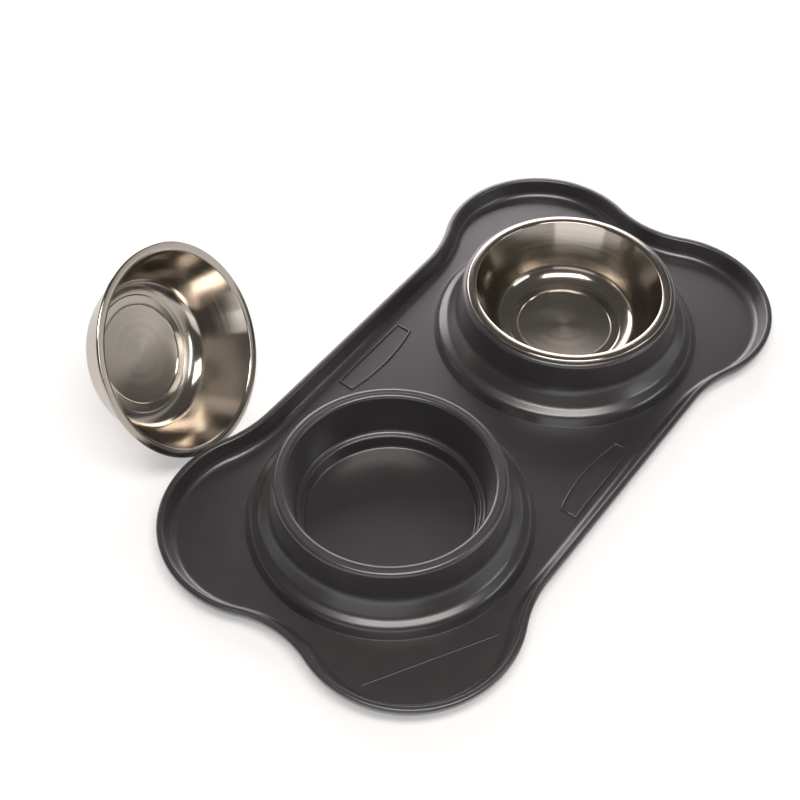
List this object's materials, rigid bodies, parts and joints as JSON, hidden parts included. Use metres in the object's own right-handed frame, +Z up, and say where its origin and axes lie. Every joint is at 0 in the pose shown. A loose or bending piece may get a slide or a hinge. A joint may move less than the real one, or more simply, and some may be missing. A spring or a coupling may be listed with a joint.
{
  "type": "double pet bowl",
  "caption": "Silicone feeding mat with a raised lip and two stepped ring wells, holding loose spun steel bowls with rolled rims",
  "frame": {"origin": "middle of the mat's flat underside", "axes": "+X along the mat through both wells, +Y towards the long side where the tipped bowl lies, +Z up"},
  "size_m": [0.48, 0.3622, 0.128],
  "materials": {
    "silicone": "satin moulded silicone, dark grey",
    "steel": "spun and polished stainless steel"
  },
  "bodies": {
    "mat": {"mat_tray": "silicone", "label_frames": "silicone", "left_well": "silicone", "right_well": "silicone"},
    "food_bowl_body": {"food_bowl": "steel"},
    "water_bowl_body": {"water_bowl": "steel"}
  },
  "joints": [
    {"name": "food_bowl_lift", "type": "slide", "parent": "mat", "child": "food_bowl_body", "axis": [0, 0, 1], "range_m": [0, 0.12]},
    {"name": "water_bowl_lift", "type": "slide", "parent": "mat", "child": "water_bowl_body", "axis": [0, 0, 1], "range_m": [0, 0.15]}
  ]
}
